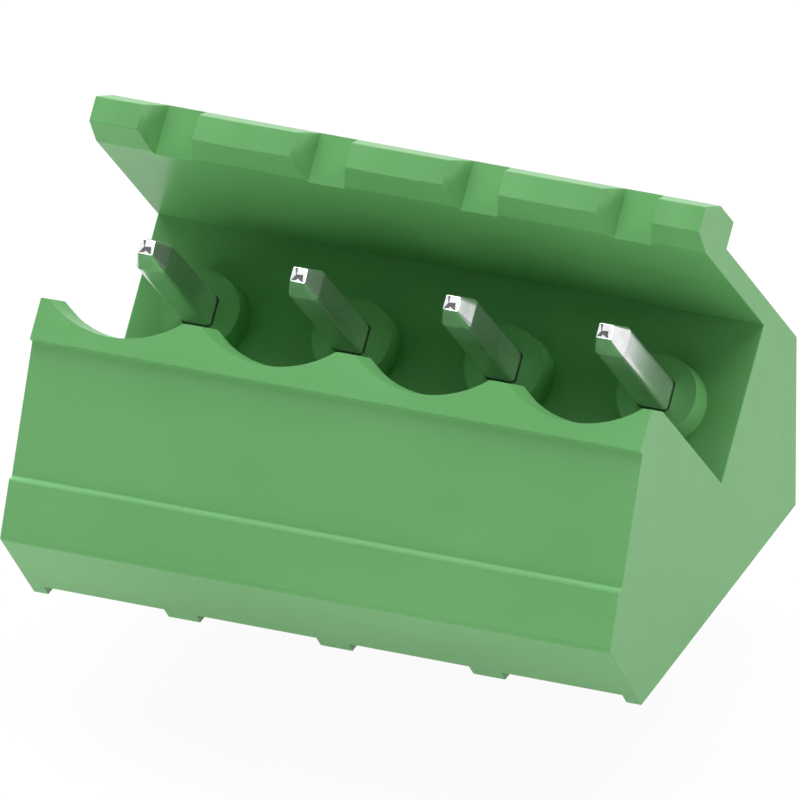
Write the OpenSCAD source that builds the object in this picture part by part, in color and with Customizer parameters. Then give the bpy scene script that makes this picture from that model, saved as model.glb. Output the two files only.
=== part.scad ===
// Four-pole pin header for a plug-in terminal block, with its cavity slanted
// at 45 degrees to the circuit board and open at both ends of the row.
// Millimetres. X runs along the row of pins, Y from the front to the back and
// Z up from the board. The origin is on the board, under the row's middle, in
// line with the solder tails. The cavity has a frame of its own, turned about
// X: "out" is along the pins towards the mouth, "low" is across them towards
// the lower wall, and both are counted from the corner where the centre lines
// of a pin's two legs meet.

/* [Row] */
// Distance from one pin to the next
pitch = 5.08; // [4.8:0.02:6]
// How much shorter the housing is than its poles, so that two stand side by side
stack_gap = 0.06; // [0:0.02:0.3]

/* [Housing outside] */
// Distance from the solder tails back to the rear face
rear_y = 5; // [4:0.1:7]
// Distance from the solder tails forward to the nose edge
nose_y = 11.54; // [11:0.02:13]
// Height of the nose edge above the board
nose_z = 3.35; // [2:0.05:4]
// Lean of the bevel under the nose, from vertical
bevel_lean = 40.3; // [30:0.1:45]
// Lean of the front wall, from vertical
front_lean = 25; // [20:0.5:30]
// Height of the small ledge across the front wall
ledge_z = 5.05; // [4.5:0.05:5.5]
// Width of that ledge
ledge_w = 0.26; // [0.1:0.02:0.5]

/* [Cavity] */
// Depth of the cavity, from its mouth to its floor
cavity_depth = 8.55; // [8:0.05:9.5]
// Height of the cavity floor above the corner in a pin's centre line
floor_rise = 0.16; // [0:0.02:0.4]
// Radius of the plug's round lobes about each pin
lobe_r = 3.05; // [2.8:0.05:3.2]
// Distance from the pins to the flat lands of the lower wall
land_gap = 2.2; // [2:0.05:2.4]
// Depth over which the mouth's lead-in narrows
lead_len = 1.15; // [0.5:0.05:1.5]
// How much wider the lead-in is at the mouth, on each wall
lead_w = 0.31; // [0.1:0.01:0.4]

/* [Upper wall and lip] */
// Thickness of the upper wall
upper_wall = 0.73; // [0.5:0.01:1]
// Thickness of the lip at the upper wall's edge
lip_t = 1.635; // [1.4:0.005:2]
// Length of the lip, from the mouth back to its step
lip_len = 3.02; // [2:0.02:4]
// Depth of the lip's outer slope, and of the notches in it
slope_len = 1.42; // [1:0.02:1.8]
// How far the outer slope falls towards the mouth
slope_drop = 0.5; // [0.2:0.02:0.7]
// Width of each notch at the mouth
notch_mouth_w = 1.86; // [1.4:0.02:2.4]
// Width of each notch at its floor
notch_floor_w = 1.23; // [0.8:0.01:1.4]

/* [Lower wall] */
// Height of the flat rim at the lower wall's mouth
rim_t = 1.37; // [1:0.01:1.6]

/* [Feet] */
// Width of the ribs that the header stands on
foot_w = 1.07; // [0.6:0.01:1.6]
// Height of those ribs
foot_h = 0.46; // [0.2:0.02:0.8]

/* [Bosses] */
// Height of the round boss about each pin
boss_h = 1; // [0.5:0.05:1.5]
// Diameter of a boss at its top
boss_top_d = 2.58; // [2:0.02:2.7]
// Diameter of a boss at the cavity floor
boss_base_d = 2.78; // [2.7:0.02:3.4]

/* [Pins] */
// Width of the square pin wire
pin_w = 1; // [0.8:0.05:1.2]
// Width taken off each long edge of the wire
pin_edge_cut = 0.1; // [0.05:0.01:0.2]
// Clearance between a pin and its channel, on each side
pin_gap = 0.04; // [0.02:0.01:0.08]
// Height above the board where the centre lines of a pin's two legs meet
bend_z = 5.67; // [5.5:0.01:6]
// Radius of a pin's bend, along its centre line
bend_r = 1; // [0.8:0.05:1.2]
// How far a pin stands above the cavity floor
pin_reach = 7.43; // [6:0.01:8]
// Length of the taper at a pin's upper end
tip_len = 0.95; // [0.5:0.05:1.5]
// Width of a pin's two flat ends
tip_w = 0.5; // [0.3:0.05:0.7]
// Length of the solder tail below the board's top face
tail_len = 3.5; // [3:0.1:5]
// Length of the taper at the solder tail's end
tail_taper = 0.4; // [0.2:0.05:0.6]

/* [Hidden] */
NODES = ["housing", "pin_1", "pin_2", "pin_3", "pin_4"];
poles = len(NODES) - 1;
slant = 45;
over = 1;
row_w = poles * pitch - stack_gap;
pole_x = [for (i = [0:poles - 1]) (i - (poles - 1) / 2) * pitch];

// Places in the cavity frame
floor_out = floor_rise;
mouth_out = floor_out + cavity_depth;
lead_out = mouth_out - lead_len;
slope_out = mouth_out - slope_len;
step_out = mouth_out - lip_len;
boss_out = floor_out + boss_h;
tip_out = floor_out + pin_reach;
wall_low = -(lobe_r + upper_wall);
lip_low = -(lobe_r + lip_t);
lip_front_low = lip_low + slope_drop;
rim_low = land_gap + lead_w;
rim_end_low = rim_low + rim_t;

// A pin's bend and its channel in the housing
bend_leg = bend_r * tan(slant / 2);
channel_w = pin_w + 2 * pin_gap;
channel_edge_cut = pin_edge_cut + (2 - sqrt(2)) * pin_gap;
smooth = 64;

// The point in the (Y, Z) section at a place in the cavity frame
function slanted_point(out, low) =
    [-out * sin(slant) - low * cos(slant), bend_z + out * cos(slant) - low * sin(slant)];
// How far towards the lower wall a point of the (Y, Z) section lies
function low_of(p) = -p[0] * cos(slant) - (p[1] - bend_z) * sin(slant);
// How far out a line of constant "low" is where it crosses a given Y
function out_at_y(y, low) = -(y + low * cos(slant)) / sin(slant);
// The point reached from p, up a wall that leans back, where "low" has fallen to low
function up_wall_to(p, lean, low) =
    p + (low_of(p) - low) / sin(lean + slant) * [sin(lean), cos(lean)];

nose = [-nose_y, nose_z];
front_foot = [-nose_y + nose_z * tan(bevel_lean), 0];
ledge_outer = [-nose_y + (ledge_z - nose_z) * tan(front_lean), ledge_z];
ledge_inner = ledge_outer + [ledge_w, 0];

// Carries a (Y, Z) outline along the row, centred on X = 0
module along_row(width) {
    rotate([90, 0, 90]) linear_extrude(width, center = true) children();
}

// Turns children so that their Z runs out of the cavity along the pins
module slanted() {
    translate([0, 0, bend_z]) rotate([slant, 0, 0]) children();
}

// Section of the moulded body, filled in across the cavity
module body_section() {
    polygon([
        [rear_y, 0],
        slanted_point(out_at_y(rear_y, wall_low), wall_low),
        slanted_point(step_out, wall_low),
        slanted_point(step_out, lip_low),
        slanted_point(slope_out, lip_low),
        slanted_point(mouth_out, lip_front_low),
        slanted_point(mouth_out, rim_end_low),
        up_wall_to(ledge_inner, front_lean, rim_end_low),
        ledge_inner,
        ledge_outer,
        nose,
        front_foot
    ]);
}

// Section of the cavity and its lead-in
module cavity_section() {
    polygon([
        slanted_point(floor_out, -lobe_r),
        slanted_point(floor_out, land_gap),
        slanted_point(lead_out, land_gap),
        slanted_point(mouth_out, rim_low),
        slanted_point(mouth_out + over, rim_low),
        slanted_point(mouth_out + over, -lobe_r - lead_w),
        slanted_point(mouth_out, -lobe_r - lead_w),
        slanted_point(lead_out, -lobe_r)
    ]);
}

// Round hollow that one plug lobe needs in the lower wall, with its lead-in
module scallop() {
    intersection() {
        union() {
            translate([0, 0, floor_out])
                cylinder(h = lead_out - floor_out, r = lobe_r, $fn = smooth);
            translate([0, 0, lead_out])
                cylinder(h = lead_len, r1 = lobe_r, r2 = lobe_r + lead_w, $fn = smooth);
            translate([0, 0, mouth_out])
                cylinder(h = over, r = lobe_r + lead_w, $fn = smooth);
        }
        translate([-pitch / 2, -2 * lobe_r, floor_out])
            cube([pitch, 2 * lobe_r, cavity_depth + over]);
    }
}

// Notch with slanted sides in the lip, one over each pin
module lip_notch() {
    translate([0, -lip_low + over, slope_out]) rotate([90, 0, 0])
        linear_extrude(lip_t + 2 * over)
            polygon([
                [-notch_floor_w / 2, 0],
                [notch_floor_w / 2, 0],
                [notch_mouth_w / 2, slope_len],
                [notch_mouth_w / 2, slope_len + over],
                [-notch_mouth_w / 2, slope_len + over],
                [-notch_mouth_w / 2, slope_len]
            ]);
}

// Raised round boss that guides one pin out of the cavity floor, with its root
module boss() {
    translate([0, 0, floor_out - over]) cylinder(h = over, d = boss_base_d, $fn = smooth);
    translate([0, 0, floor_out])
        cylinder(h = boss_h, d1 = boss_base_d, d2 = boss_top_d, $fn = smooth);
}

// Square of the given width with its corners cut off
module wire_section(width, cut) {
    half = width / 2;
    polygon([
        for (a = [0:90:270], p = [[half, half - cut], [half - cut, half]])
            [p[0] * cos(a) - p[1] * sin(a), p[0] * sin(a) + p[1] * cos(a)]
    ]);
}

// Square wire from its upper end, round the bend and down to its lower end
module bent_wire(width, cut, upper_out, lower_z) {
    slanted() translate([0, 0, bend_leg])
        linear_extrude(upper_out - bend_leg) wire_section(width, cut);
    translate([0, -bend_r, bend_z - bend_leg]) rotate([90, 0, 90])
        rotate_extrude(angle = slant, $fn = smooth)
            translate([bend_r, 0]) wire_section(width, cut);
    translate([0, 0, lower_z])
        linear_extrude(bend_z - bend_leg - lower_z) wire_section(width, cut);
}

// Channel in the housing for one pin: the bore through the boss, and the slot
// behind the tail that lets the ready-bent pin slide in from below
module pin_channel() {
    half = channel_w / 2;
    bent_wire(channel_w, channel_edge_cut, boss_out + over, -over);
    along_row(channel_w) polygon([
        [-half, -over],
        [rear_y + over, -over],
        slanted_point(out_at_y(rear_y + over, -half), -half),
        slanted_point(bend_leg, -half),
        [-half, bend_z - bend_leg]
    ]);
}

// Room between two feet under the body
module foot_gap() {
    translate([-(pitch - foot_w) / 2, -nose_y - over, -over])
        cube([pitch - foot_w, nose_y + rear_y + 2 * over, foot_h + over]);
}

// Four planes that taper the end of a wire which stops at Z = 0
module taper_cuts(length) {
    lean = atan((pin_w - tip_w) / 2 / length);
    for (a = [0:90:270])
        rotate([0, 0, a]) translate([pin_w / 2, -pin_w, -length])
            rotate([0, -lean, 0]) cube([pin_w, 2 * pin_w, 2 * length]);
}

module housing() {
    color([0.42, 0.68, 0.42])
    difference() {
        union() {
            difference() {
                along_row(row_w) difference() {
                    body_section();
                    cavity_section();
                }
                for (x = pole_x) translate([x, 0, 0]) {
                    slanted() scallop();
                    slanted() lip_notch();
                    foot_gap();
                }
            }
            for (x = pole_x) translate([x, 0, 0]) slanted() boss();
        }
        for (x = pole_x) translate([x, 0, 0]) pin_channel();
    }
}

// One bent contact pin with its plug end and solder tail, at its own pole
module pin(number) {
    color([0.78, 0.79, 0.8])
    translate([pole_x[number - 1], 0, 0]) difference() {
        bent_wire(pin_w, pin_edge_cut, tip_out, -tail_len);
        slanted() translate([0, 0, tip_out]) taper_cuts(tip_len);
        translate([0, 0, -tail_len]) mirror([0, 0, 1]) taper_cuts(tail_taper);
    }
}

housing();
pin(1);  // pin_1
pin(2);  // pin_2
pin(3);  // pin_3
pin(4);  // pin_4
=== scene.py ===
# %% [markdown]
# # A slanted pin header, dressed in Blender
#
# The object is a row of four bent pins in a green moulded housing. It is
# soldered to a circuit board, and a plug with wire clamps slides onto the pins
# down a slope of 45 degrees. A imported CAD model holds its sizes. This lesson
# keeps them, and adds what a CAD solid lacks: the small radii that a mould and
# a wire die leave on every edge, and materials with the fine detail of moulded
# nylon and bright tin.
#
# Everything is in metres. X runs along the row, Y to the back and Z up from the
# board. The first cell loads the CAD model and notes the box that it fills.

# %% Load the frame
import math

import bmesh
import bpy
from mathutils import Matrix, Vector


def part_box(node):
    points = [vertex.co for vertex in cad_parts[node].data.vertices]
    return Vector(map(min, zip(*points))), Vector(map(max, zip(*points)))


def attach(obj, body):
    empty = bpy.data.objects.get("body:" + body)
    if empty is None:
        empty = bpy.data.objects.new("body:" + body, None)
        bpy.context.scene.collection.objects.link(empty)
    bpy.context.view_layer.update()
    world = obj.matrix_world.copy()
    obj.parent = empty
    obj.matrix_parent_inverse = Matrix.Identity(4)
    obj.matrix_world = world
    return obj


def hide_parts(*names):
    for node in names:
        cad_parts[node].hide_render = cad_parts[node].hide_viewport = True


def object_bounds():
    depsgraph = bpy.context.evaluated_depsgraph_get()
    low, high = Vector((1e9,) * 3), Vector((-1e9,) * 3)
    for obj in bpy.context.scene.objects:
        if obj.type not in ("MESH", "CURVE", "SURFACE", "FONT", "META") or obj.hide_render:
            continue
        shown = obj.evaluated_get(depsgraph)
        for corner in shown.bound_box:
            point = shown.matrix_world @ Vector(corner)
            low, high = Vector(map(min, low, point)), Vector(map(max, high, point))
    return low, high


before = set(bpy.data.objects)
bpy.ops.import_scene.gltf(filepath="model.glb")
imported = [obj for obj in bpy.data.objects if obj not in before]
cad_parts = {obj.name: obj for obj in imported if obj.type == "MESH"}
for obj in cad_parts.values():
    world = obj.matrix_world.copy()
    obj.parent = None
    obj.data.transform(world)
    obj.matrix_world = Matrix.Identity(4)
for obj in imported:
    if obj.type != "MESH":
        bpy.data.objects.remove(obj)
MM = 0.001
SLANT = math.radians(45)
UP_SLOPE = Vector((0, -math.sin(SLANT), math.cos(SLANT)))
ACROSS = Vector((0, math.cos(SLANT), math.sin(SLANT)))
cad_low, cad_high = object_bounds()
PINS = sorted(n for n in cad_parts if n.startswith("pin_"))
print("nodes:", sorted(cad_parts), "size in mm:",
      [round(v / MM, 2) for v in cad_high - cad_low])

# %% [markdown]
# ## The camera
#
# A product picture of a small connector is taken from far away with a long
# lens, so that parallel edges stay parallel. The camera stands about 1.2 m off,
# turned 21 degrees to the right of the front and 29 degrees above the board,
# and its line of sight passes near the middle of the object. Its numbers aren't
# round, because another program solved them from the object's edges.

# %% Camera
AZIMUTH = math.radians(20.961)
ELEVATION = math.radians(28.841)
LENS = 1650.0
DISTANCE = 1158.888 * MM
AIM = Vector((-5.372, 10.813, -2.285)) * MM

away = Vector((math.sin(AZIMUTH) * math.cos(ELEVATION),
               -math.cos(AZIMUTH) * math.cos(ELEVATION),
               math.sin(ELEVATION)))
camera = bpy.data.objects.new("camera", bpy.data.cameras.new("camera"))
camera.data.lens = LENS
camera.location = AIM + away * DISTANCE
camera.rotation_mode = "QUATERNION"
camera.rotation_quaternion = (-away).to_track_quat("-Z", "Y")
bpy.context.scene.collection.objects.link(camera)
bpy.context.scene.camera = camera
bpy.context.scene.view_settings.view_transform = "Standard"
print("camera at", [round(v, 3) for v in camera.location])

# %% [markdown]
# ## Shader sums as Python expressions
#
# A material's pattern is a sum of noises, masks and colours. Written node by
# node it is long and hard to read, so one small class wraps a socket: an
# expression on such values adds its Math nodes by itself. `node` adds any other
# node from its type, its settings and the values of its sockets.

# %% A wrapped socket


class Value:
    """A shader socket that sums and products can be written with."""

    def __init__(self, tree, socket):
        self.tree, self.socket = tree, socket

    def math(self, operation, *inputs):
        return node(self.tree, "ShaderNodeMath", {"operation": operation},
                    dict(enumerate(inputs)))

    def __add__(self, other):
        return self.math("ADD", self, other)

    def __sub__(self, other):
        return self.math("SUBTRACT", self, other)

    def __rsub__(self, other):
        return self.math("SUBTRACT", other, self)

    def __mul__(self, other):
        return self.math("MULTIPLY", self, other)

    __radd__ = __add__
    __rmul__ = __mul__


def node(tree, kind, settings=None, inputs=None, output=0):
    """Adds a node: first its settings, then its sockets' values or links."""
    made = tree.nodes.new(kind)
    for name, value in (settings or {}).items():
        setattr(made, name, value)
    for name, value in (inputs or {}).items():
        if isinstance(value, Value):
            tree.links.new(value.socket, made.inputs[name])
        else:
            made.inputs[name].default_value = value
    return Value(tree, made.outputs[output])


def mix_colour(tree, share, low, high):
    """A colour between two others, or a link to one."""
    return node(tree, "ShaderNodeMix", {"data_type": "RGBA"},
                {0: share, 6: low, 7: high}, output=2)


def new_material(name):
    """A material with an empty tree, and the tree's output."""
    material = bpy.data.materials.new(name)
    material.use_nodes = True
    tree = material.node_tree
    tree.nodes.clear()
    output = tree.nodes.new("ShaderNodeOutputMaterial")
    return material, tree, output


def object_place(tree):
    """The object coordinates, which every pattern starts from."""
    return node(tree, "ShaderNodeTexCoord", output=3)


def stretched(tree, place, scale, turn=(0, 0, 0)):
    """Coordinates turned and scaled for one pattern."""
    return node(tree, "ShaderNodeMapping", inputs={
        "Vector": place, "Rotation": turn, "Scale": scale})


def noise(tree, place, size, detail=2.0, roughness=0.5):
    """Noise whose lumps are about `size` metres across."""
    return node(tree, "ShaderNodeTexNoise", inputs={
        "Vector": place, "Scale": 1 / size, "Detail": detail,
        "Roughness": roughness})


def ramp(value, low, high):
    """0 below `low`, 1 above `high`, and a smooth rise between them."""
    return node(value.tree, "ShaderNodeMapRange",
                {"interpolation_type": "SMOOTHSTEP"},
                {"Value": value, "From Min": low, "From Max": high})


print("shader helpers are ready")

# %% [markdown]
# ## Moulded nylon
#
# The housing is glass-filled nylon dyed mid green. Its mould is finely spark
# eroded, which leaves a satin skin of grains a few hundredths of a millimetre
# wide. The melt flows in from one side and cools unevenly, so both the shade
# and the gloss drift a little over some millimetres. Large soft noise drives
# that drift, and a fine one drives the grain in a Bump node. A paler green is
# painted as a highlight on the narrow ledge along the front, where light
# catches it. Ramps on the height and the depth keep that painted line on the ledge.

# %% Green nylon
GREEN_DEEP = (0.133, 0.385, 0.128, 1)
GREEN_PALE = (0.150, 0.412, 0.145, 1)
# The paler green below is a painted highlight for the front ledge.
GREEN_LEDGE_HIGHLIGHT = (0.230, 0.540, 0.230, 1)
DRIFT_SIZE = 6 * MM
STREAK_SIZE = 1.2 * MM
SPECK_SIZE = 0.11 * MM
GRAIN_SIZE = 0.05 * MM
GRAIN_DEPTH = 0.004 * MM
LEDGE_Z = 5.05 * MM
# The front and back edges of the painted ledge highlight, and its blur.
HIGHLIGHT_FRONT = -10.76 * MM
HIGHLIGHT_BACK = -10.44 * MM
HIGHLIGHT_BLUR = 0.04 * MM


def painted_ledge_highlight(tree, place):
    """1 on the thin line along the front ledge, where a highlight is painted."""
    depth, height = [node(tree, "ShaderNodeSeparateXYZ", inputs={0: place},
                          output=i) for i in (1, 2)]
    offset = height - LEDGE_Z
    distance = offset.math("ABSOLUTE", offset)
    near = 1 - ramp(distance, HIGHLIGHT_BLUR / 2, HIGHLIGHT_BLUR)
    fade_in = ramp(depth, HIGHLIGHT_FRONT, HIGHLIGHT_FRONT + 4 * HIGHLIGHT_BLUR)
    fade_out = 1 - ramp(depth, HIGHLIGHT_BACK - HIGHLIGHT_BLUR, HIGHLIGHT_BACK)
    return near * fade_in * fade_out


def nylon_material():
    material, tree, output = new_material("green_nylon")
    place = object_place(tree)
    drift = noise(tree, place, DRIFT_SIZE, detail=3)
    streaks = noise(tree, stretched(tree, place, (0.25, 1, 1)), STREAK_SIZE)
    specks = noise(tree, place, SPECK_SIZE, detail=1)
    grain = noise(tree, place, GRAIN_SIZE, detail=3, roughness=0.6)
    shade = ramp(drift * 0.6 + streaks * 0.25 + specks * 0.15, 0.35, 0.65)
    colour = mix_colour(tree, shade, GREEN_DEEP, GREEN_PALE)
    # A paler green is painted on the ledge as a highlight.
    colour = mix_colour(tree, painted_ledge_highlight(tree, place), colour, GREEN_LEDGE_HIGHLIGHT)
    rough = 0.26 + drift * 0.06 + grain * 0.04
    bump = node(tree, "ShaderNodeBump", inputs={
        "Height": grain + specks * 0.5, "Strength": 0.10,
        "Distance": GRAIN_DEPTH})
    shader = node(tree, "ShaderNodeBsdfPrincipled", inputs={
        "Base Color": colour, "Roughness": rough, "IOR": 1.27,
        "Normal": bump})
    tree.links.new(shader.socket, output.inputs["Surface"])
    return material


NYLON = nylon_material()
print("material:", NYLON.name)

# %% [markdown]
# ## Bright tin
#
# The pins are drawn square wire with bright tin on it. Drawing leaves faint
# lines along the wire, and the plating is a little cloudy from place to place.
# The lines need long thin noise, so the coordinates are squeezed along the
# wire: its upper leg leans forward at 45 degrees, and the pattern leans too.

# %% Tin
TIN_BRIGHT = (0.93, 0.94, 0.95, 1)
TIN_CLOUD = (0.84, 0.85, 0.86, 1)
LINE_SIZE = 0.03 * MM
CLOUD_SIZE = 0.5 * MM
PIT_SIZE = 0.03 * MM
LINE_DEPTH = 0.003 * MM
TIP_FLAT = 0.5 * MM
TIP_POLISH = 0.15 * MM


def tip_place(cad_node):
    """The middle of a pin's free end, from the box of its CAD node."""
    low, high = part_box(cad_node)
    half = TIP_FLAT / 2 * math.sin(SLANT)
    return Vector(((low.x + high.x) / 2, low.y + half, high.z - half))


TIP_LEVEL = tip_place(PINS[0]).dot(UP_SLOPE)


def tin_material():
    material, tree, output = new_material("bright_tin")
    place = object_place(tree)
    along = stretched(tree, place, (1, 1, 0.03), turn=(-SLANT, 0, 0))
    lines = noise(tree, along, LINE_SIZE, detail=2)
    cloud = noise(tree, place, CLOUD_SIZE, detail=3)
    pits = noise(tree, place, PIT_SIZE, detail=1)
    colour = mix_colour(tree, ramp(cloud, 0.4, 0.7), TIN_BRIGHT, TIN_CLOUD)
    height = node(tree, "ShaderNodeVectorMath", {"operation": "DOT_PRODUCT"},
                  {0: place, 1: UP_SLOPE}, output=1)
    drawn = 1 - ramp(height, TIP_LEVEL - TIP_POLISH, TIP_LEVEL)
    rough = 0.03 + (0.11 + cloud * 0.10 + lines * 0.06) * drawn
    bump = node(tree, "ShaderNodeBump", inputs={
        "Height": (lines + pits * 0.5) * drawn, "Strength": 0.06,
        "Distance": LINE_DEPTH})
    shader = node(tree, "ShaderNodeBsdfPrincipled", inputs={
        "Base Color": colour, "Metallic": 0.9, "Roughness": rough,
        "Normal": bump})
    tree.links.new(shader.socket, output.inputs["Surface"])
    return material


TIN = tin_material()
print("material:", TIN.name)

# %% [markdown]
# ## Making a piece
#
# Every finished mesh becomes an object in the same way: it sits at the origin,
# it stands for its CAD node, and it rides on the one body.

# %% Piece helper


def finish_piece(name, mesh, material, cad_node):
    piece = bpy.data.objects.new(name, mesh)
    bpy.context.scene.collection.objects.link(piece)
    mesh.materials.clear()
    mesh.materials.append(material)
    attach(piece, "root")
    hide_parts(cad_node)
    return piece


print("piece helper is ready")

# %% [markdown]
# ## The housing
#
# The moulding's shape is right in CAD, but its edges are sharp. A copy of its
# mesh is welded and its flat faces are joined back into whole ones. Each edge
# then gets one of three looks. The seams between the facets of a round wall
# are smooth, and all of them run down the slope. The walls of the four latch
# notches flow softly into the lip's front. Every other edge is a real corner.
#
# A Bevel modifier rounds the long outer corners: most of them by 0.025 mm, the
# ledge by twice that, and the nose at the foot of the front by 0.12 mm. It reads
# one weight for each edge. Weighted Normal then keeps the flat faces flat beside
# the roundings. The Bevel's own clamp is off, because the mesh has short edges,
# and with the clamp on they leave no rounding at all.
#
# One fault is left. Which flat faces get joined depends on the order of the
# mesh's parts. In some orders one rounded face is then drawn as a flat sheet
# over the four lobes of the lower wall, 0.85 mm off their bottoms.

# %% Housing
EDGE_RADIUS = 0.025 * MM
LEDGE_RADIUS = 0.05 * MM
NOSE_RADIUS = 0.12 * MM
NOSE_Z = 3.35 * MM
ROUNDING_STEPS = 3
WELD = 0.0005 * MM
FLAT_ANGLE = math.radians(1)
FACET_ANGLE = math.radians(20)
CORNER_ANGLE = math.radians(10)
ROUND_ANGLE = math.radians(22)
SHORT_EDGE = 1.5 * MM
LIP_HEIGHT = 11 * MM
LIP_END = 1 * MM
TOUCH = 0.01 * MM
ROUGHLY = 0.7  # how well a direction has to match, as a cosine
CLOSELY = 0.9


def direction(edge):
    return (edge.verts[1].co - edge.verts[0].co).normalized()


def is_seam(edge, turned):
    """Tells the seams of a round wall, which run down the slope."""
    downhill = abs(direction(edge).dot(UP_SLOPE)) > ROUGHLY
    return turned < FACET_ANGLE and downhill


def is_notch_brow(edge, mouth):
    """Tells the edges where a latch notch starts in the lip's front."""
    on_front = all(mouth - v.co.dot(UP_SLOPE) < TOUCH for v in edge.verts)
    inside = all(abs(v.co.x) < cad_high.x - LIP_END for v in edge.verts)
    high = all(v.co.z > LIP_HEIGHT for v in edge.verts)
    crosswise = abs(direction(edge).dot(ACROSS)) > CLOSELY
    return on_front and inside and high and crosswise


def edge_radius(edge):
    """The ledge and the nose run the whole row and are rounded more."""
    heights = [vert.co.z for vert in edge.verts]
    level = abs(heights[0] - heights[1]) < TOUCH
    if level and edge.is_convex and abs(direction(edge).x) > CLOSELY:
        if abs(heights[0] - LEDGE_Z) < TOUCH:
            return LEDGE_RADIUS
        if abs(heights[0] - NOSE_Z) < TOUCH:
            return NOSE_RADIUS
    return EDGE_RADIUS


def housing_mesh():
    bm = bmesh.new()
    bm.from_mesh(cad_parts["housing"].data)
    bmesh.ops.remove_doubles(bm, verts=bm.verts, dist=WELD)
    bmesh.ops.dissolve_limit(bm, angle_limit=FLAT_ANGLE, verts=bm.verts,
                             edges=bm.edges)
    weight = bm.edges.layers.float.new("bevel_weight_edge")
    mouth = max(vert.co.dot(UP_SLOPE) for vert in bm.verts)
    for face in bm.faces:
        face.smooth = True
    for edge in bm.edges:
        turned = edge.calc_face_angle(math.pi)
        edge.smooth = (turned < CORNER_ANGLE or is_seam(edge, turned)
                       or is_notch_brow(edge, mouth))
        rounded = edge.is_convex and edge.calc_length() > SHORT_EDGE
        if turned > ROUND_ANGLE and rounded and not edge.smooth:
            edge[weight] = edge_radius(edge) / NOSE_RADIUS
    mesh = bpy.data.meshes.new("housing_shell")
    bm.to_mesh(mesh)
    corners = sum(not edge.smooth for edge in bm.edges)
    print("housing:", len(bm.faces), "faces,", corners, "corner edges")
    bm.free()
    return mesh


housing = finish_piece("housing_shell", housing_mesh(), NYLON,
                       "housing")
rounding = housing.modifiers.new("mould radius", "BEVEL")
rounding.limit_method = "WEIGHT"
rounding.width = NOSE_RADIUS
rounding.segments = ROUNDING_STEPS
rounding.use_clamp_overlap = False
flatness = housing.modifiers.new("flat faces stay flat", "WEIGHTED_NORMAL")
flatness.keep_sharp = True

# %% [markdown]
# ## The pins
#
# A pin is one length of square wire, so it is a row of equal rings joined by
# faces. The rings run up the solder tail, round the bend and up the slanted
# leg. Both ends are drawn in to a small flat. The free end's rim is rounded
# and its flat is crowned a little, as the cutting tool leaves it. The straight
# sides of each ring are split too, so that the dome is true between the corners.

# %% Pins
WIRE = 1.0 * MM
WIRE_RADIUS = 0.15 * MM
BEND_RADIUS = 1.0 * MM
TIP_LENGTH = 0.95 * MM
RIM_RADIUS = 0.03 * MM
CROWN = 0.35 / MM
TAIL_TAPER = 0.4 * MM
SOFT = 0.05 * MM
BEND_STEPS = 10
CORNER_STEPS = 4
SIDE_STEPS = 6
RIM_STEPS = 3
CROWN_SHARES = (0.96, 0.75, 0.5, 0.25)


def wire_ring(bm, middle, along, size):
    """A square ring with rounded corners, square to the wire's direction."""
    side = Vector((1, 0, 0))
    up = along.cross(side)
    radius = WIRE_RADIUS * (size / WIRE) ** 2
    reach = size / 2 - radius
    ring = []
    for corner in range(4):
        turn = math.radians(45 + 90 * corner)
        core = (side * math.copysign(reach, math.cos(turn))
                + up * math.copysign(reach, math.sin(turn)))
        for step in range(CORNER_STEPS + 1):
            angle = math.radians(90 * (corner + step / CORNER_STEPS))
            arm = side * math.cos(angle) + up * math.sin(angle)
            ring.append(middle + core + arm * radius)
        straight = (up * math.cos(angle) - side * math.sin(angle)) * reach * 2
        corner_end = ring[-1]
        for step in range(1, SIDE_STEPS):
            ring.append(corner_end + straight * step / SIDE_STEPS)
    return [bm.verts.new(place) for place in ring]


def join_rings(bm, rings):
    for first, second in zip(rings, rings[1:]):
        for i in range(len(first)):
            bm.faces.new((first[i - 1], first[i], second[i], second[i - 1]))


def close_ring(bm, ring, middle):
    """Closes an end with a fan of faces round one middle point."""
    middle_vert = bm.verts.new(middle)
    for i in range(len(ring)):
        bm.faces.new((ring[i - 1], ring[i], middle_vert))


def crown(bm, tip):
    """Domes the free end: its height falls with the square of the distance."""
    for vert in bm.verts:
        offset = vert.co - tip
        height = offset.dot(UP_SLOPE)
        if height > -2 * RIM_RADIUS:
            distance = (offset - UP_SLOPE * height).length
            vert.co -= UP_SLOPE * CROWN * distance ** 2


def wire_stations(tip, foot):
    """The wire's rings as (middle, direction, size), from tail to tip."""
    up = Vector((0, 0, 1))
    corner = Vector((tip.x, foot.y, tip.z - (foot.y - tip.y)))
    cut = BEND_RADIUS * math.tan(SLANT / 2)
    leg = (tip - corner).length
    yield foot, up, TIP_FLAT
    yield foot + up * TAIL_TAPER, up, WIRE
    centre = corner + Vector((0, -BEND_RADIUS, -cut))
    for step in range(BEND_STEPS + 1):
        angle = SLANT * step / BEND_STEPS
        arm = Vector((0, math.cos(angle), math.sin(angle)))
        along = Vector((0, -math.sin(angle), math.cos(angle)))
        yield centre + arm * BEND_RADIUS, along, WIRE
    taper = (WIRE - TIP_FLAT) / TIP_LENGTH
    for back in (TIP_LENGTH + SOFT, TIP_LENGTH, TIP_LENGTH - SOFT):
        size = min(WIRE, TIP_FLAT + back * taper)
        yield tip - UP_SLOPE * back, UP_SLOPE, size
    for step in range(RIM_STEPS + 1):
        angle = math.radians(90) * step / RIM_STEPS
        back = RIM_RADIUS * (1 - math.sin(angle))
        inset = RIM_RADIUS * (1 - math.cos(angle))
        yield tip - UP_SLOPE * back, UP_SLOPE, TIP_FLAT - 2 * inset
    for share in CROWN_SHARES:
        yield tip, UP_SLOPE, (TIP_FLAT - 2 * RIM_RADIUS) * share


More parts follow.
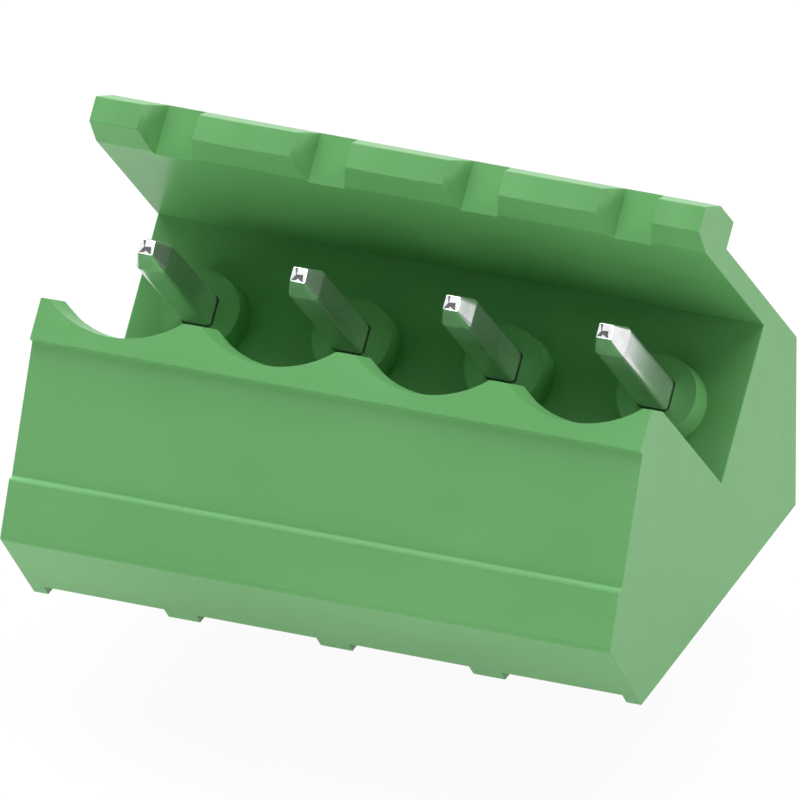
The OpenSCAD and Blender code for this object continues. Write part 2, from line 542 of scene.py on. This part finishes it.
def pin_mesh(cad_node):
    low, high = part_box(cad_node)
    tip = tip_place(cad_node)
    foot = Vector((tip.x, high.y - WIRE / 2, low.z))
    bm = bmesh.new()
    rings = [wire_ring(bm, *station) for station in wire_stations(tip, foot)]
    join_rings(bm, rings)
    close_ring(bm, rings[0], foot)
    close_ring(bm, rings[-1], tip)
    crown(bm, tip)
    bmesh.ops.recalc_face_normals(bm, faces=bm.faces)
    for face in bm.faces:
        face.smooth = True
    mesh = bpy.data.meshes.new(cad_node + "_wire")
    bm.to_mesh(mesh)
    open_edges = sum(len(edge.link_faces) != 2 for edge in bm.edges)
    print(cad_node, "wire:", len(bm.faces), "faces,", open_edges, "open edges")
    bm.free()
    return mesh


for cad_node in PINS:
    finish_piece(cad_node + "_wire", pin_mesh(cad_node), TIN,
                 cad_node)

# %% [markdown]
# ## Floor and sky
#
# The header stands on its solder tails on a plain white floor. The camera sees
# the floor as its own white, with the shadow laid thinly over it, and a glossy
# surface sees it a little darker. For all other light it is plain matt white.
# The sky is white to look at, and it lights the object only faintly, because
# the lamps do that.

# %% Floor
FLOOR_SIZE = 1.0
FLOOR_LIT = (0.85, 0.0)  # matt share and glow
FLOOR_SEEN = (0.06, 0.94)
FLOOR_MIRRORED = (0.25, 0.62)
CAMERA_RAY, GLOSSY_RAY, CLEAR_RAY = 0, 3, 6  # outputs of the Light Path node


def ray_kind(tree, *outputs):
    """1 for rays of the given kinds, else 0."""
    kinds = [node(tree, "ShaderNodeLightPath", output=i) for i in outputs]
    return sum(kinds[1:], kinds[0])


def white_look(tree, matt_share, glow):
    """Matt white added to a white glow."""
    matt = node(tree, "ShaderNodeBsdfDiffuse",
                inputs={"Color": (matt_share, matt_share, matt_share, 1)})
    white = node(tree, "ShaderNodeEmission", inputs={"Strength": glow})
    return node(tree, "ShaderNodeAddShader", inputs={0: matt, 1: white})


def floor_material():
    material, tree, output = new_material("white_floor")
    lit = white_look(tree, *FLOOR_LIT)
    mirrored = white_look(tree, *FLOOR_MIRRORED)
    seen = white_look(tree, *FLOOR_SEEN)
    mixed = node(tree, "ShaderNodeMixShader",
                 inputs={0: ray_kind(tree, GLOSSY_RAY), 1: lit, 2: mirrored})
    looked_at = ray_kind(tree, CAMERA_RAY, CLEAR_RAY)
    mixed = node(tree, "ShaderNodeMixShader",
                 inputs={0: looked_at, 1: mixed, 2: seen})
    tree.links.new(mixed.socket, output.inputs["Surface"])
    return material


floor_bm = bmesh.new()
bmesh.ops.create_grid(floor_bm, x_segments=1, y_segments=1, size=FLOOR_SIZE,
                      matrix=Matrix.Translation((0, 0, cad_low.z)))
floor_mesh = bpy.data.meshes.new("floor")
floor_bm.to_mesh(floor_mesh)
floor_bm.free()
floor_mesh.materials.append(floor_material())
floor = bpy.data.objects.new("floor", floor_mesh)
bpy.context.scene.collection.objects.link(floor)
print("floor at", round(cad_low.z / MM, 2), "mm")

# %% Sky
SKY_LIGHT = 0.1

world = bpy.data.worlds.new("white sky")
bpy.context.scene.world = world
world.use_nodes = True
sky = world.node_tree
sky.nodes.clear()
sky_light = node(sky, "ShaderNodeBackground",
                 inputs={"Color": (1, 1, 1, 1), "Strength": SKY_LIGHT})
sky_seen = node(sky, "ShaderNodeBackground",
                inputs={"Color": (1, 1, 1, 1), "Strength": 1.0})
looked_at = ray_kind(sky, CAMERA_RAY, GLOSSY_RAY, CLEAR_RAY)
sky_mix = node(sky, "ShaderNodeMixShader",
               inputs={0: looked_at, 1: sky_light, 2: sky_seen})
sky_output = sky.nodes.new("ShaderNodeOutputWorld")
sky.links.new(sky_mix.socket, sky_output.inputs["Surface"])
print("sky strength:", SKY_LIGHT)

# %% [markdown]
# ## Soft boxes
#
# Eight soft boxes stand round the object at 0.4 m. A long low strip in front
# reaches under the upper wall into the cavity, and because it is long, the pins
# throw no hard shadows there. The others come from above, from both sides and
# from behind. Their directions and powers come from a least-squares fit in
# another program. They were then rounded, and some were changed by hand.

# %% Soft boxes
BOX_DISTANCE = 0.4
WIDE = (0.2, 0.2)
SMALL = (0.08, 0.08)
STRIP = (0.4, 0.08)
BOXES = {  # degrees right of the front, degrees up, size, power in watts
    "overhead": (0, 85, WIDE, 0.40),
    "high front": (0, 72, SMALL, 0.11),
    "front strip": (355, 4, STRIP, 0.56),
    "right": (90, 8, WIDE, 0.54),
    "high right": (120, 58, WIDE, 0.50),
    "back": (202, 33, WIDE, 0.27),
    "left": (248, 33, WIDE, 0.67),
    "high left": (240, 58, WIDE, 0.50)}

middle = (cad_low + cad_high) / 2
for name, (turn, height, size, power) in BOXES.items():
    turn, height = math.radians(turn), math.radians(height)
    toward = Vector((math.sin(turn) * math.cos(height),
                     -math.cos(turn) * math.cos(height), math.sin(height)))
    lamp_data = bpy.data.lights.new(name, "AREA")
    lamp_data.shape = "ELLIPSE"
    lamp_data.size = size[0]
    lamp_data.size_y = size[1]
    lamp_data.energy = power
    lamp = bpy.data.objects.new(name, lamp_data)
    lamp.location = middle + toward * BOX_DISTANCE
    lamp.rotation_mode = "QUATERNION"
    lamp.rotation_quaternion = toward.to_track_quat("Z", "Y")
    bpy.context.scene.collection.objects.link(lamp)
power_sum = sum(power for turn, height, size, power in BOXES.values())
print(len(BOXES), "soft boxes,", round(power_sum, 2), "watts in all")

# %% [markdown]
# ## Flags for the tips
#
# A bright crowned tip mirrors a wide piece of the studio, and stays a plain
# white spot where that is all white. A photographer hangs dark flags there.
# Each flag below is drawn as the small figure that it should leave in a tip,
# in widths of the flat from its middle. Every corner is then sent along its
# mirror ray to find where the flag's own corner has to hang. The figures are
# given, and they only show from the camera's side.

# %% Flags
FLAG_DISTANCE = 0.3
FLAG_GREY = 0.08
FIGURES = (
    ((-0.43, -0.42), (-0.18, -0.02), (0.28, 0.04), (0.34, -0.45),
     (-0.03, -0.25), (-0.08, -0.36)),
    ((-0.36, 0.52), (-0.17, 0.52), (-0.14, -0.03), (-0.19, -0.04)))


def mirrored(start, right, up):
    """The point that a tip mirrors toward the camera at one place on it."""
    slope = Vector((1, 0, 0)) * right + ACROSS * up
    normal = (UP_SLOPE + slope * TIP_FLAT * 2 * CROWN).normalized()
    return start - away.reflect(normal) * FLAG_DISTANCE


def flag_material():
    material, tree, output = new_material("dark_flag")
    shade = node(tree, "ShaderNodeEmission", inputs={
        "Color": (1, 1, 1, 1), "Strength": FLAG_GREY})
    tree.links.new(shade.socket, output.inputs["Surface"])
    return material


flag_bm = bmesh.new()
row_middle = sum((tip_place(n) for n in PINS), Vector()) / len(PINS)
for figure in FIGURES:
    flag_bm.faces.new([flag_bm.verts.new(mirrored(row_middle, *corner))
                       for corner in figure])
flag_mesh = bpy.data.meshes.new("flags")
flag_bm.to_mesh(flag_mesh)
flag_bm.free()
flag_mesh.materials.append(flag_material())
flags = bpy.data.objects.new("flags", flag_mesh)
flags.visible_camera = False
flags.visible_diffuse = False
flags.visible_shadow = False
bpy.context.scene.collection.objects.link(flags)
print("flags at", [[round(c, 2) for c in v.co] for v in flag_mesh.vertices])
